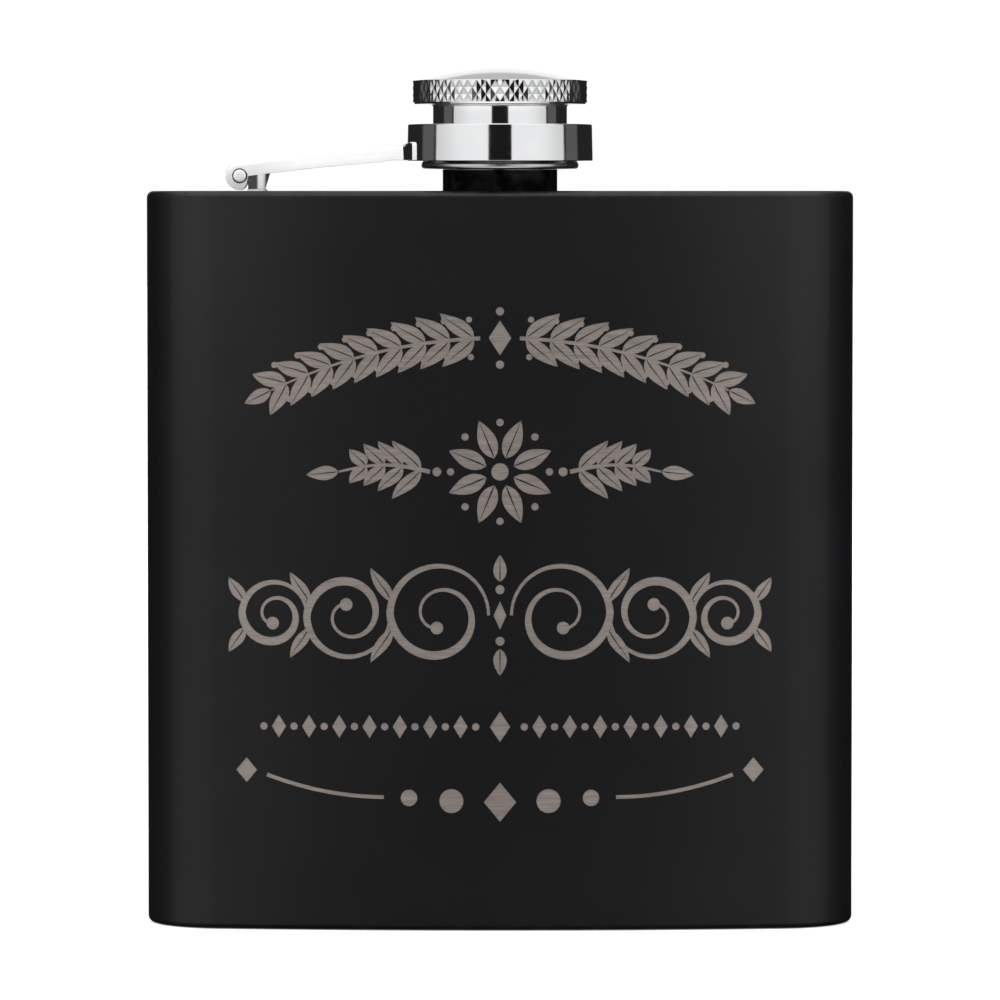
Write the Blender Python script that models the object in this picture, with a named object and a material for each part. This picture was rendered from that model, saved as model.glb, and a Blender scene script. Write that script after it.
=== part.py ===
"""Hip flask with a captive screw cap: one Blender object for each piece, at rest with the cap on.

Row frame: metres, +Z up, origin at the middle of the flat base, under the neck. The flask's wide, gently
bulging front faces -Y, and the captive arm's hinge is on the -X side of the shoulder. Lengths below are
in millimetres and are turned into metres when a mesh is written.
"""

import math

import bmesh
import bpy
from mathutils import Matrix, Vector

MM = 0.001
GAP = 0.3  # between pieces that are welded, pressed or resting together
FULL_TURN = 2 * math.pi

# Body: a kidney section made of four tangent arcs, drawn up into a tall flat can.
BODY_WIDTH = 94.0
BODY_HEIGHT = 97.5
END_RADIUS = 10.8  # the round left and right ends
FRONT_RADIUS = 300.0  # bulges towards -Y
BACK_RADIUS = 190.0  # hollow, to lie against a hip
EDGE_RADIUS = 0.9  # where the wall rolls in to meet the two plates
WALL = 0.6
RIM_FLAT = 0.3  # flat land of the rolled-in rim, beside the plate
PLATE = 0.8

# Neck: welded through the shoulder, with an outside thread.
NECK_BORE = 4.9
SPIGOT_RADIUS = 6.7
SPIGOT_DROP = 1.0  # below the shoulder's top face
COLLAR_RADIUS = 7.6
COLLAR_HEIGHT = 2.7
COLLAR_CHAMFER = 0.3
NECK_HEIGHT = 9.1
MALE_ROOT, MALE_CREST = 5.75, 6.35
RIM_ROUND = 0.3
PITCH = 1.3
THREAD_START, THREAD_END = 3.3, 8.0  # heights above the shoulder

# Cap: a turned head, and a threaded insert whose lip is pressed on below the captive ring.
HEAD_RADIUS = 11.56
HEAD_CHAMFER = 0.2
KNURL_BOTTOM, KNURL_TOP = 11.45, 14.6  # heights above the shoulder
DOME_RADIUS, DOME_RISE = 10.45, 1.6  # footprint of the dome, and its height
STEM_RADIUS = 8.92
STEM_WALL = 0.5
CEILING = 11.0  # inner top of the cap, above the shoulder
INSERT_BOTTOM = 2.85
INSERT_TOP = 8.9
LIP_RADIUS = 10.43
LIP_TOP = 4.05
FEMALE_ROOT, FEMALE_CREST = 7.7, 7.05
SEAL_RADIUS = 8.1

# Captive ring: an inverted cup round the cap's stem, open below so that the lip can rise into it.
RING_RADIUS = 12.35
RING_WALL = 0.85
RING_TOP_WALL = 0.6
RING_HOLE = 9.2
RING_BOTTOM, RING_TOP = 4.05, 8.85
RING_ROUND = 0.25

# Captive arm: a folded channel from the hinge pin to the ring, a little bowed.
PIN_X = -34.44
PIN_RISE = 1.97  # pin's axis above the shoulder
EAR_RADIUS = 1.9  # of the ears' nose and foot
EAR_HEEL = 1.1  # from the pin to the ears' steeper back edge, under the arm
ARM_SHEET = 0.5
ARM_TOP = 1.82  # top of the web above the pin's axis
ARM_SLOPE = 0.1407
ARM_BOW_RADIUS = 278.0
ARM_DEPTH = 2.0  # of the side flanges
HALF_WIDTH_AT_PIN, HALF_WIDTH_AT_RING = 2.6, 3.3
PAD_HALF_WIDTH = 5.7  # the flared foot, which is welded to the ring
PAD_TOP, PAD_BOTTOM = 6.5, 4.05
PAD_SHEET = 0.5
# (distance off the ring, share of the pad's full size) along the flare
PAD_FLARE = ((1.6, 0.06), (0.9, 0.25), (PAD_SHEET, 0.6), (PAD_SHEET, 1.0), (0.0, 1.0))
WEB_END = -0.8  # the web stops this far behind the pin, so that the arm can fall right back
FOLD_CHAMFER = 0.35
WEB_STEPS = 4  # facets across half of the web
NOSE_STATIONS = [-1.84, -1.65, -1.34, WEB_END, 0.0, 0.5, 0.8, 1.0, EAR_HEEL, 2.4]  # from the pin
SHANK_STATIONS = (0.3, 0.5, 0.7, 0.85)  # shares of the way from the pin to the ring

# Hinge: a strip bent into a U, welded to the shoulder, and a riveted pin.
PIN_RADIUS = 0.65
PIN_HOLE = 0.72
PIN_HEAD_RADIUS, PIN_HEAD = 0.82, 0.16
PIN_END_PLAY = 0.12
BRACKET_HALF_WIDTH = 2.0
BRACKET_SHEET = 0.6
BRACKET_BEND_X = -32.4
BRACKET_NOSE_RADIUS = 1.15
FOOT_LEFT, FOOT_RIGHT = -33.35, -31.1
BRACKET_RIGHT_TOP = 2.5

TURN_STEPS = 48  # facets round a turned piece
THREAD_STEPS = 36
THREAD_ROWS = 6  # rows of facets to each pitch

SHOULDER = BODY_HEIGHT
END_X = BODY_WIDTH / 2 - END_RADIUS  # centres of the two end arcs
FRONT_ANGLE = math.asin(END_X / (FRONT_RADIUS - END_RADIUS))
BACK_ANGLE = math.asin(END_X / (BACK_RADIUS + END_RADIUS))
FRONT_DEPTH = FRONT_RADIUS - (FRONT_RADIUS - END_RADIUS) * math.cos(FRONT_ANGLE)
BACK_DEPTH = (BACK_RADIUS + END_RADIUS) * math.cos(BACK_ANGLE) - BACK_RADIUS
END_Y = (FRONT_DEPTH - BACK_DEPTH) / 2  # puts the neck midway between front and back


# ---------------------------------------------------------------- scene and mesh helpers


def clear_scene():
    for obj in list(bpy.data.objects):
        bpy.data.objects.remove(obj)


def material(name, colour, roughness, metallic):
    made = bpy.data.materials.new(name)
    made.use_nodes = True
    shader = made.node_tree.nodes["Principled BSDF"]
    shader.inputs["Base Color"].default_value = (*colour, 1.0)
    shader.inputs["Roughness"].default_value = roughness
    shader.inputs["Metallic"].default_value = metallic
    return made


def add_object(name, bm, finish, origin=(0.0, 0.0, 0.0), smooth_angle=35):
    """Turns a bmesh in millimetres into an object in metres whose origin is at the given point."""
    bmesh.ops.recalc_face_normals(bm, faces=bm.faces)
    bmesh.ops.translate(bm, verts=bm.verts, vec=-Vector(origin))
    bmesh.ops.scale(bm, verts=bm.verts, vec=(MM, MM, MM))
    mesh = bpy.data.meshes.new(name)
    bm.to_mesh(mesh)
    bm.free()
    mesh.shade_smooth()
    mesh.set_sharp_from_angle(angle=math.radians(smooth_angle))
    obj = bpy.data.objects.new(name, mesh)
    obj.location = Vector(origin) * MM
    bpy.context.scene.collection.objects.link(obj)
    if finish:
        mesh.materials.append(finish)
    return obj


def add_cutter(name, bm, origin=(0.0, 0.0, 0.0)):
    cutter = add_object(name, bm, None, origin)
    cutter.hide_render = True
    cutter.display_type = "WIRE"
    return cutter


def boolean(obj, cutter, operation):
    """Adds an EXACT Boolean, and puts the cutter under the same parent so that both stay together."""
    step = obj.modifiers.new(cutter.name, "BOOLEAN")
    step.operation = operation
    step.solver = "EXACT"
    step.object = cutter


def loft(rings, closed):
    """Bridges equal loops of points. A closed loft joins the last loop to the first. An open one, whose loops
    run out along one path and back along another, is capped by a strip between the two paths."""
    bm = bmesh.new()
    loops = [[bm.verts.new(point) for point in ring] for ring in rings]
    pairs = list(zip(loops, loops[1:]))
    if closed:
        pairs.append((loops[-1], loops[0]))
    count = len(loops[0])
    for low, high in pairs:
        for i in range(count):
            j = (i + 1) % count
            bm.faces.new((low[i], low[j], high[j], high[i]))
    if not closed:
        for cap in (loops[0], loops[-1]):
            for i in range(count // 2 - 1):
                bm.faces.new((cap[i], cap[i + 1], cap[-2 - i], cap[-1 - i]))
    return bm


def turned(profile, steps=TURN_STEPS):
    """Spins a closed (radius, z) profile round Z. Its points on the axis are merged."""
    bm = bmesh.new()
    verts = [bm.verts.new((radius, 0.0, z)) for radius, z in profile]
    edges = [bm.edges.new(pair) for pair in zip(verts, verts[1:])]
    if profile[0][0] > 0:
        edges.append(bm.edges.new((verts[-1], verts[0])))
    bmesh.ops.spin(
        bm, geom=verts + edges, cent=(0, 0, 0), axis=(0, 0, 1), angle=FULL_TURN, steps=steps
    )
    bmesh.ops.remove_doubles(bm, verts=bm.verts, dist=1e-4)
    return bm


def prism(outline, low, high):
    """Extrudes an (x, y) outline from z = low to z = high."""
    bm = bmesh.new()
    base = bm.faces.new([bm.verts.new((x, y, low)) for x, y in outline])
    lifted = bmesh.ops.extrude_face_region(bm, geom=[base])["geom"]
    verts = [item for item in lifted if isinstance(item, bmesh.types.BMVert)]
    bmesh.ops.translate(bm, verts=verts, vec=(0, 0, high - low))
    return bm


def arc(centre, radius, start, end, steps):
    """Points on a circle from one angle to another, both ends included."""
    angles = [start + (end - start) * i / steps for i in range(steps + 1)]
    return [
        (centre[0] + radius * math.cos(a), centre[1] + radius * math.sin(a)) for a in angles
    ]


def circle(radius, z, steps=TURN_STEPS):
    return [(x, y, z) for x, y in arc((0, 0), radius, 0, FULL_TURN, steps)[:-1]]


# ---------------------------------------------------------------- body


def body_outline(inset):
    """The kidney section moved inwards by inset: front, right end, back and left end, anticlockwise."""
    down = -math.pi / 2
    front = arc(
        (0, END_Y - FRONT_DEPTH + FRONT_RADIUS),
        FRONT_RADIUS - inset,
        down - FRONT_ANGLE,
        down + FRONT_ANGLE,
        16,
    )
    back = arc(
        (0, END_Y + BACK_DEPTH + BACK_RADIUS),
        BACK_RADIUS + inset,
        down + BACK_ANGLE,
        down - BACK_ANGLE,
        16,
    )
    radius = END_RADIUS - inset
    right = arc((END_X, END_Y), radius, down + FRONT_ANGLE, 0, 7)[1:]
    right += arc((END_X, END_Y), radius, 0, BACK_ANGLE - down, 7)[1:-1]
    left = [(-x, y) for x, y in right[::-1]]
    return front + right + back + left


def rolled_rim(radius, middle_z, towards):
    """(inset, z) points of the quarter round from the upright wall to the rim, towards +1 up or -1 down."""
    steps = 4
    rim = []
    for i in range(steps + 1):
        angle = math.pi / 2 * i / steps
        inset = EDGE_RADIUS - radius * math.cos(angle)
        rim.append((inset, middle_z + towards * radius * math.sin(angle)))
    return rim


def body_shell(finish):
    """The wrapped wall, with both edges rolled inwards; the side seam is ground flush."""
    top, bottom = BODY_HEIGHT - EDGE_RADIUS, EDGE_RADIUS
    inner_radius = EDGE_RADIUS - WALL
    land = EDGE_RADIUS + RIM_FLAT
    outside = rolled_rim(EDGE_RADIUS, bottom, -1)[::-1] + rolled_rim(EDGE_RADIUS, top, 1)
    inside = rolled_rim(inner_radius, top, 1)[::-1] + rolled_rim(inner_radius, bottom, -1)
    profile = (
        [(land, 0.0)]
        + outside
        + [(land, BODY_HEIGHT), (land, BODY_HEIGHT - WALL)]
        + inside
        + [(land, WALL)]
    )
    rings = [[(x, y, z) for x, y in body_outline(inset)] for inset, z in profile]
    return add_object("body_shell", loft(rings, closed=True), finish)


def end_plate(name, low, finish):
    outline = body_outline(EDGE_RADIUS + RIM_FLAT + GAP)
    return add_object(name, prism(outline, low, low + PLATE), finish)


def top_plate(finish):
    plate = end_plate("top_plate", SHOULDER - PLATE, finish)
    hole = turned(
        [
            (0, SHOULDER - 2 * PLATE),
            (SPIGOT_RADIUS + GAP, SHOULDER - 2 * PLATE),
            (SPIGOT_RADIUS + GAP, SHOULDER + PLATE),
            (0, SHOULDER + PLATE),
        ]
    )
    boolean(plate, add_cutter("neck_hole_cutter", hole), "DIFFERENCE")
    return plate


# ---------------------------------------------------------------- threads


def tooth(angle, z):
    """Height, 0 to 1, of a right-hand thread's tooth at this angle and height above the shoulder."""
    phase = (z / PITCH - angle / FULL_TURN) % 1.0
    flank = 3.2 * (0.5 - abs(phase - 0.5)) - 0.45
    return min(1.0, max(0.0, flank))


def run_out(z):
    """Fades the thread in and out over half a pitch at its two ends."""
    ends = min(z - THREAD_START, THREAD_END - z) / (PITCH / 2)
    return min(1.0, max(0.0, ends))


def thread_rings(root, crest, low, high):
    """Loops of points up a threaded wall, from low to high above the shoulder."""
    rows = round((high - low) / PITCH * THREAD_ROWS)
    rings = []
    for row in range(rows + 1):
        z = low + (high - low) * row / rows
        ring = []
        for i in range(THREAD_STEPS):
            angle = FULL_TURN * i / THREAD_STEPS
            radius = root + (crest - root) * tooth(angle, z) * run_out(z)
            ring.append((radius * math.cos(angle), radius * math.sin(angle), SHOULDER + z))
        rings.append(ring)
    return rings


def neck(finish):
    """Spigot, collar and threaded spout in one turned piece."""
    collar_top = COLLAR_HEIGHT
    below = [
        (NECK_BORE, -SPIGOT_DROP),
        (SPIGOT_RADIUS, -SPIGOT_DROP),
        (SPIGOT_RADIUS, GAP),
        (COLLAR_RADIUS, GAP),
        (COLLAR_RADIUS, collar_top - COLLAR_CHAMFER),
        (COLLAR_RADIUS - COLLAR_CHAMFER, collar_top),
        (MALE_ROOT, collar_top),
    ]
    above = [
        (MALE_ROOT + RIM_ROUND, NECK_HEIGHT - RIM_ROUND),
        (MALE_ROOT, NECK_HEIGHT),
        (NECK_BORE + RIM_ROUND, NECK_HEIGHT),
        (NECK_BORE, NECK_HEIGHT - RIM_ROUND),
    ]
    rings = [circle(radius, SHOULDER + z, THREAD_STEPS) for radius, z in below]
    rings += thread_rings(MALE_ROOT, MALE_CREST, THREAD_START, THREAD_END)
    rings += [circle(radius, SHOULDER + z, THREAD_STEPS) for radius, z in above]
    return add_object("neck", loft(rings, closed=True), finish)


# ---------------------------------------------------------------- cap


def dome(steps=8):
    """(radius, z) points of the cap's shallow dome, from its edge to the axis."""
    radius = (DOME_RADIUS**2 + DOME_RISE**2) / (2 * DOME_RISE)
    half_angle = math.asin(DOME_RADIUS / radius)
    points = []
    for i in range(steps + 1):
        angle = half_angle * (1 - i / steps)
        points.append((radius * math.sin(angle), radius * (math.cos(angle) - math.cos(half_angle))))
    return points


def cap_head(finish):
    """Domed top, grip band and stem. The grip band's diamonds stand inside this plain band."""
    skirt_end = LIP_TOP + GAP
    profile = [
        (0, CEILING),
        (STEM_RADIUS - STEM_WALL, CEILING),
        (STEM_RADIUS - STEM_WALL, skirt_end),
        (STEM_RADIUS, skirt_end),
        (STEM_RADIUS, KNURL_BOTTOM),
        (HEAD_RADIUS - HEAD_CHAMFER, KNURL_BOTTOM),
        (HEAD_RADIUS, KNURL_BOTTOM + HEAD_CHAMFER),
        (HEAD_RADIUS, KNURL_TOP - HEAD_CHAMFER),
        (HEAD_RADIUS - HEAD_CHAMFER, KNURL_TOP),
    ]
    profile += [(radius, KNURL_TOP + rise) for radius, rise in dome()]
    return add_object(
        "cap_head", turned([(radius, SHOULDER + z) for radius, z in profile]), finish
    )


def thread_insert(finish):
    """The cap's female thread, with the round-nosed lip that holds the captive ring on."""
    outer = STEM_RADIUS - STEM_WALL - GAP
    nose_z = (INSERT_BOTTOM + LIP_TOP) / 2 + 0.1
    above = [
        (outer, INSERT_TOP),
        (outer, LIP_TOP),
        (LIP_RADIUS - 0.3, LIP_TOP),
        (LIP_RADIUS - 0.05, nose_z + 0.3),
        (LIP_RADIUS, nose_z),
        (LIP_RADIUS - 0.15, nose_z - 0.3),
        (LIP_RADIUS - 0.7, INSERT_BOTTOM + 0.12),
        (FEMALE_ROOT + 0.3, INSERT_BOTTOM),
        (FEMALE_ROOT, INSERT_BOTTOM + 0.3),
    ]
    rings = [circle(radius, SHOULDER + z, THREAD_STEPS) for radius, z in above]
    rings += thread_rings(FEMALE_ROOT, FEMALE_CREST, INSERT_BOTTOM + 0.6, INSERT_TOP - 0.4)
    rings += [circle(FEMALE_ROOT, SHOULDER + INSERT_TOP, THREAD_STEPS)]
    return add_object("thread_insert", loft(rings, closed=True), finish)


def cap_seal(finish):
    """The soft disc that the neck's rim presses on, loose enough for the cap to turn over it."""
    profile = [
        (0, NECK_HEIGHT + GAP),
        (SEAL_RADIUS, NECK_HEIGHT + GAP),
        (SEAL_RADIUS, CEILING - GAP),
        (0, CEILING - GAP),
    ]
    return add_object(
        "cap_seal", turned([(radius, SHOULDER + z) for radius, z in profile]), finish
    )


# ---------------------------------------------------------------- captive ring, arm and hinge


def captive_ring(finish):
    inner = RING_RADIUS - RING_WALL
    profile = [
        (inner, RING_BOTTOM),
        (RING_RADIUS, RING_BOTTOM),
        (RING_RADIUS, RING_TOP - RING_ROUND),
        (RING_RADIUS - RING_ROUND, RING_TOP),
        (RING_HOLE, RING_TOP),
        (RING_HOLE, RING_TOP - RING_TOP_WALL),
        (inner, RING_TOP - RING_TOP_WALL),
    ]
    return add_object(
        "captive_ring", turned([(radius, SHOULDER + z) for radius, z in profile]), finish
    )


def arm_top(u):
    """Height of the web's top above the shoulder, u millimetres from the pin towards the ring."""
    straight = PIN_RISE + ARM_TOP + ARM_SLOPE * u - u * u / (2 * ARM_BOW_RADIUS)
    if u >= WEB_END:
        return straight
    return min(straight, PIN_RISE + math.sqrt(max(EAR_RADIUS**2 - u * u, 0.0)))


def arm_bottom(u):
    """Height of the flanges' lower edge: round the ear, then parallel to the web."""
    parallel = arm_top(max(u, WEB_END)) - ARM_DEPTH
    reach = EAR_HEEL if u > 0 else EAR_RADIUS
    if abs(u) >= reach:
        return parallel
    return min(parallel, PIN_RISE - EAR_RADIUS * math.sqrt(1 - (u / reach) ** 2))


def channel_path(half_width, top, bottom):
    """(y, z) round an inverted U with chamfered folds, from one flange's foot to the other's."""
    flat = half_width - FOLD_CHAMFER
    web = [(flat * i / WEB_STEPS, top) for i in range(-WEB_STEPS, WEB_STEPS + 1)]
    fold = top - FOLD_CHAMFER
    return [(-half_width, bottom), (-half_width, fold)] + web + [(half_width, fold), (half_width, bottom)]


def channel_ring(outer, inner, x_at):
    """A loop round the channel's sheet. outer and inner are (half width, top, bottom); x_at gives x from y."""
    path = channel_path(*outer) + channel_path(*inner)[::-1]
    return [(x_at(y), y, SHOULDER + z) for y, z in path]


def on_ring(offset):
    """Gives x from y on the side of the ring that faces the hinge, offset millimetres off its wall."""
    return lambda y: -math.sqrt((RING_RADIUS + offset) ** 2 - y * y)


def arm_rings():
    """Loops of the arm's channel from the nose of its ears to the flared pad on the ring."""
    length = on_ring(GAP)(0) - PIN_X
    inner = (HALF_WIDTH_AT_RING - ARM_SHEET, arm_top(length) - ARM_SHEET, PAD_BOTTOM)
    rings = []
    for u in NOSE_STATIONS + [length * share for share in SHANK_STATIONS]:
        half = HALF_WIDTH_AT_PIN + (HALF_WIDTH_AT_RING - HALF_WIDTH_AT_PIN) * max(u, 0) / length
        top, bottom = arm_top(u), arm_bottom(u)
        inner_top = max(top - ARM_SHEET, bottom + 2 * FOLD_CHAMFER)
        hollow = (half - ARM_SHEET, inner_top, bottom)
        rings.append(channel_ring((half, top, bottom), hollow, lambda y, x=PIN_X + u: x))
    for offset, share in PAD_FLARE:
        half = HALF_WIDTH_AT_RING + (PAD_HALF_WIDTH - HALF_WIDTH_AT_RING) * share
        top = arm_top(length) + (PAD_TOP - arm_top(length)) * share
        rings.append(channel_ring((half, top, PAD_BOTTOM), inner, on_ring(GAP + offset)))
    return rings


def captive_arm(finish):
    pin = (PIN_X, 0.0, SHOULDER + PIN_RISE)
    arm = add_object("captive_arm", loft(arm_rings(), closed=False), finish, pin)
    inner_half = HALF_WIDTH_AT_PIN - ARM_SHEET
    nose = [
        (PIN_X - 2 * EAR_RADIUS, -inner_half),
        (PIN_X + WEB_END, -inner_half),
        (PIN_X + WEB_END, inner_half),
        (PIN_X - 2 * EAR_RADIUS, inner_half),
    ]
    slot = prism(nose, SHOULDER - 1, SHOULDER + PIN_RISE + 2 * EAR_RADIUS)
    boolean(arm, add_cutter("web_end_cutter", slot, pin), "DIFFERENCE")
    boolean(arm, pin_hole_cutter("arm_hole_cutter"), "DIFFERENCE")
    return arm


def along_y(bm):
    """Lays a piece that was turned round Z along Y, with its middle on the pin's axis."""
    bmesh.ops.rotate(bm, verts=bm.verts, matrix=Matrix.Rotation(math.pi / 2, 3, "X"))
    bmesh.ops.translate(bm, verts=bm.verts, vec=(PIN_X, 0, SHOULDER + PIN_RISE))
    return bm


def pin_hole_cutter(name):
    reach = 2 * HALF_WIDTH_AT_PIN
    hole = turned([(0, -reach), (PIN_HOLE, -reach), (PIN_HOLE, reach), (0, reach)], 20)
    return add_cutter(name, along_y(hole), (PIN_X, 0.0, SHOULDER + PIN_RISE))


def hinge_pin(finish):
    """A plain pin, peened over at both ends."""
    shank = HALF_WIDTH_AT_PIN + PIN_END_PLAY
    end = shank + PIN_HEAD
    rim = PIN_HEAD_RADIUS - 0.1
    profile = [
        (0, -end),
        (rim, -end),
        (PIN_HEAD_RADIUS, -end + 0.08),
        (PIN_HEAD_RADIUS, -shank),
        (PIN_RADIUS, -shank),
        (PIN_RADIUS, shank),
        (PIN_HEAD_RADIUS, shank),
        (PIN_HEAD_RADIUS, end - 0.08),
        (rim, end),
        (0, end),
    ]
    origin = (PIN_X, 0.0, SHOULDER + PIN_RISE)
    return add_object("hinge_pin", along_y(turned(profile, 20)), finish, origin)


def hinge_bracket(finish):
    """A strip bent into a U that is closed towards the neck; its two ears carry the pin."""
    left = PIN_X - BRACKET_NOSE_RADIUS
    half, inner = BRACKET_HALF_WIDTH, BRACKET_HALF_WIDTH - BRACKET_SHEET
    bend = (BRACKET_BEND_X, 0.0)
    quarter = math.pi / 2
    plan = [(left, -half)] + arc(bend, half, -quarter, quarter, 12) + [(left, half)]
    plan += [(left, inner)] + arc(bend, inner, quarter, -quarter, 12) + [(left, -inner)]
    nose_top = PIN_RISE + BRACKET_NOSE_RADIUS
    strip = prism(plan, SHOULDER + GAP, SHOULDER + nose_top + 0.05)
    bracket = add_object("hinge_bracket", strip, finish)
    pin = (PIN_X, PIN_RISE)
    nose = arc(pin, BRACKET_NOSE_RADIUS, quarter, 3 * quarter, 10)
    right = BRACKET_BEND_X + half
    side = nose + [
        (FOOT_LEFT, PIN_RISE - BRACKET_NOSE_RADIUS),
        (FOOT_LEFT, -1),
        (FOOT_RIGHT, -1),
        (FOOT_RIGHT, GAP),
        (right - 0.05, BRACKET_RIGHT_TOP),
    ]
    keep = prism(side, -2 * half, 2 * half)
    bmesh.ops.rotate(keep, verts=keep.verts, matrix=Matrix.Rotation(math.pi / 2, 3, "X"))
    bmesh.ops.translate(keep, verts=keep.verts, vec=(0, 0, SHOULDER))
    boolean(bracket, add_cutter("bracket_side_cutter", keep), "INTERSECT")
    boolean(bracket, pin_hole_cutter("bracket_hole_cutter"), "DIFFERENCE")
    return bracket


# ---------------------------------------------------------------- assembly


def main():
    clear_scene()
    black_coat = material("black_coat", (0.018, 0.017, 0.019), 0.42, 0.0)
    polished_steel = material("polished_steel", (0.78, 0.78, 0.78), 0.08, 1.0)
    bare_steel = material("bare_steel", (0.62, 0.61, 0.59), 0.3, 1.0)
    seal_plastic = material("seal_plastic", (0.75, 0.75, 0.72), 0.5, 0.0)

    body_shell(black_coat)
    top_plate(black_coat)
    end_plate("base_plate", 0.0, black_coat)
    neck(black_coat)
    hinge_bracket(polished_steel)
    hinge_pin(polished_steel)
    captive_arm(polished_steel)
    captive_ring(polished_steel)
    cap_seal(seal_plastic)
    cap_head(polished_steel)
    thread_insert(bare_steel)


main()
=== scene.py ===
"""Looks of the captive-top hip flask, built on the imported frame.

Lengths are in millimetres and angles in radians, unless a name or a comment says otherwise.
"""

import math
import random

import bmesh
import bpy
from mathutils import Matrix, Vector
from mathutils.geometry import delaunay_2d_cdt


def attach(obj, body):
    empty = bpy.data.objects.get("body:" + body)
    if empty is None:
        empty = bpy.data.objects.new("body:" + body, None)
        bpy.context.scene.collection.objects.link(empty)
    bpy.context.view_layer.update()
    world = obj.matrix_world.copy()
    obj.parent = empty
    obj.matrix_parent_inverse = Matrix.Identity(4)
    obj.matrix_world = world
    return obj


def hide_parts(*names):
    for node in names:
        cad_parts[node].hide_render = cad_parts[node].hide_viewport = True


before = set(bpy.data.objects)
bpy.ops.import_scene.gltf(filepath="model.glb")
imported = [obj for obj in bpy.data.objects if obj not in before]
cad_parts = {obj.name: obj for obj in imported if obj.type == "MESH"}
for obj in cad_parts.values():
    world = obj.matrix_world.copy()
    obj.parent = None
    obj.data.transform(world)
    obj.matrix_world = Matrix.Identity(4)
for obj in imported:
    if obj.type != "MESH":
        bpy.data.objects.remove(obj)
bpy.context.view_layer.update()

MM = 0.001
TURN = 2 * math.pi
QUARTER = math.pi / 2
DOWN = -QUARTER

# ---- sizes, as in the CAD

BODY_WIDTH, HEIGHT = 94.0, 97.5
END_RADIUS, FRONT_RADIUS, BACK_RADIUS = 10.8, 300.0, 190.0
EDGE_RADIUS, WALL = 0.9, 0.6
END_X = BODY_WIDTH / 2 - END_RADIUS
FRONT_ANGLE = math.asin(END_X / (FRONT_RADIUS - END_RADIUS))
BACK_ANGLE = math.asin(END_X / (BACK_RADIUS + END_RADIUS))
FRONT_DEPTH = FRONT_RADIUS - (FRONT_RADIUS - END_RADIUS) * math.cos(FRONT_ANGLE)
BACK_DEPTH = (BACK_RADIUS + END_RADIUS) * math.cos(BACK_ANGLE) - BACK_RADIUS
END_Y = (FRONT_DEPTH - BACK_DEPTH) / 2
FRONT_CENTRE_Y = END_Y - FRONT_DEPTH + FRONT_RADIUS
HALF_FRONT = FRONT_RADIUS * FRONT_ANGLE  # half of the front's length along its curve

PLATE = 0.8
NECK_BORE, SPIGOT_RADIUS, SPIGOT_DROP = 4.9, 6.7, 1.0
COLLAR_RADIUS, COLLAR_HEIGHT, NECK_HEIGHT = 7.6, 2.7, 9.1
PITCH = 1.3
MALE_ROOT, MALE_CREST, MALE_SPAN = 5.75, 6.35, (3.3, 8.0)
FEMALE_ROOT, FEMALE_CREST, FEMALE_SPAN = 7.7, 7.05, (3.45, 8.5)

HEAD_RADIUS = 11.56
KNURL_BOTTOM, KNURL_TOP = 11.45, 14.6
DOME_RADIUS, DOME_RISE = 10.45, 1.6
STEM_RADIUS, STEM_WALL, CEILING = 8.92, 0.5, 11.0
INSERT_BOTTOM, INSERT_TOP = 2.85, 8.9
LIP_RADIUS, LIP_TOP = 10.43, 4.05
SEAL_RADIUS, SEAL_BOTTOM, SEAL_TOP = 8.1, 9.4, 10.7

RING_RADIUS, RING_WALL, RING_TOP_WALL, RING_HOLE = 12.35, 0.85, 0.6, 9.2
RING_BOTTOM, RING_TOP = 4.05, 8.85

PIN_X, PIN_RISE, EAR_RADIUS, EAR_HEEL = -34.44, 1.97, 1.9, 1.1
ARM_SHEET, ARM_TOP, ARM_SLOPE, ARM_BOW_RADIUS, ARM_DEPTH = 0.5, 1.82, 0.1407, 278.0, 2.0
HALF_WIDTH_AT_PIN, HALF_WIDTH_AT_RING = 2.6, 3.3
PAD_HALF_WIDTH, PAD_TOP, PAD_BOTTOM = 5.7, 6.5, 4.05
WEB_END = -0.8
PIN_RADIUS, PIN_HOLE, PIN_HEAD_RADIUS, PIN_HEAD_END = 0.65, 0.72, 0.82, 2.88
BRACKET_HALF_WIDTH, BRACKET_SHEET, BRACKET_BEND_X, BRACKET_NOSE = 2.0, 0.6, -32.4, 1.15
FOOT_LEFT, FOOT_RIGHT, BRACKET_RIGHT_TOP = -33.35, -31.1, 2.5

# ---- sizes that only the looks have

ENGRAVE_DEPTH = 0.07
FRONT_STEPS, BACK_STEPS, END_STEPS, WALL_ROWS = 64, 48, 18, 12
RIM_STEPS, ROUND_STEPS = 8, 144
KNURL_COUNT = 58  # grooves of each hand round the cap
KNURL_HALF_ROWS, KNURL_DEPTH = 3, 0.12
ROWS_PER_TURN = 14  # loops up each turn of a thread
COUNTERBORE = 1.0  # the pin's heads sit in these shallow steps
SPIGOT_WELD = 0.2  # how far the weld fills the gap round the spigot
WELD_RADIUS = SPIGOT_RADIUS + SPIGOT_WELD
SEAM_INSET, SEAM_DEPTH = 1.35, 0.12
RIM_WEAR = 1.1  # how far from the rims the coat is rubbed
SOFT_ANGLE = 32  # degrees; sharper edges than this stay crisp
ARM_LENGTH = -RING_RADIUS - PIN_X  # from the pin to the ring
ARM_SPLAY = 0.28  # how far the channel's flanges lean outwards
ARM_FOLD, ARM_INNER_FOLD = 0.55, 0.2

# ---- light and camera

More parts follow.
